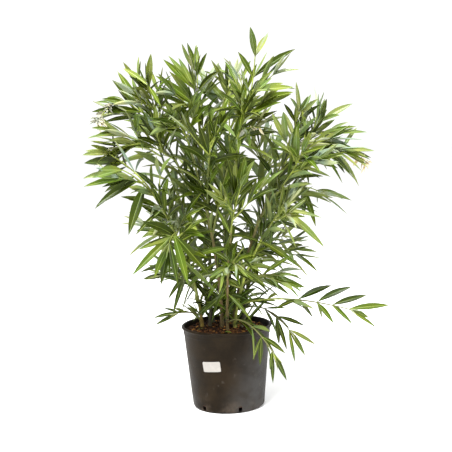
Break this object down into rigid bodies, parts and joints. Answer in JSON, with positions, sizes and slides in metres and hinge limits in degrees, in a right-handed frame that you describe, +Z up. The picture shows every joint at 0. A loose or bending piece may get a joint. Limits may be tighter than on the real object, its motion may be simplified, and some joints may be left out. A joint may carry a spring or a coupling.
{
  "type": "potted oleander shrub",
  "caption": "Evergreen shrub of slender upright stems and narrow pointed leaves in whorls, in a round black nursery pot full of bark compost",
  "frame": {"origin": "centre of the pot's flat underside", "axes": "+Z up, along the plant; -Y towards the front, the side the picture shows; +X to the right of the front"},
  "size_m": [0.7836, 0.6647, 0.9867],
  "materials": {
    "pot": "satin, a little scuffed",
    "soil": "rough, moist",
    "label": "matt",
    "old_bark": "rough",
    "young_bark": "smooth",
    "foliage": "leathery, slightly glossy"
  },
  "bodies": {
    "root": {"pot": "pot", "soil": "soil", "label": "label", "stem_back_east": "old_bark", "stem_back_west": "old_bark", "stem_brown": "old_bark", "stem_core": "old_bark", "stem_dark": "old_bark", "stem_east": "old_bark", "stem_front": "old_bark", "stem_green": "old_bark", "stem_rear": "old_bark", "stem_west": "old_bark", "bough_back_left": "young_bark", "bough_back_right": "young_bark", "bough_back_top": "young_bark", "bough_crown": "young_bark", "bough_front_high": "young_bark", "bough_left_front": "young_bark", "bough_left_high": "young_bark", "bough_low_right": "young_bark", "bough_right_front": "young_bark", "bough_right_high": "young_bark", "mass_back_left": "foliage", "mass_back_left_low": "foliage", "mass_back_low": "foliage", "mass_back_middle": "foliage", "mass_back_right": "foliage", "mass_back_right_low": "foliage", "mass_back_top": "foliage", "mass_bud": "foliage", "mass_crown": "foliage", "mass_crown_left": "foliage", "mass_crown_middle": "foliage", "mass_front_high": "foliage", "mass_front_left": "foliage", "mass_front_low": "foliage", "mass_front_middle": "foliage", "mass_left_base": "foliage", "mass_left_droop": "foliage", "mass_left_far": "foliage", "mass_left_front": "foliage", "mass_left_high": "foliage", "mass_left_lean": "foliage", "mass_left_middle": "foliage", "mass_left_rise": "foliage", "mass_left_upper": "foliage", "mass_low_right": "foliage", "mass_middle_right": "foliage", "mass_right_base": "foliage", "mass_right_far": "foliage", "mass_right_front": "foliage", "mass_right_hang": "foliage", "mass_right_high": "foliage", "mass_right_low": "foliage", "mass_right_shoulder": "foliage", "mass_right_upper": "foliage", "mass_rim_front": "foliage", "mass_rim_left": "foliage", "mass_rim_right": "foliage"}
  },
  "joints": []
}
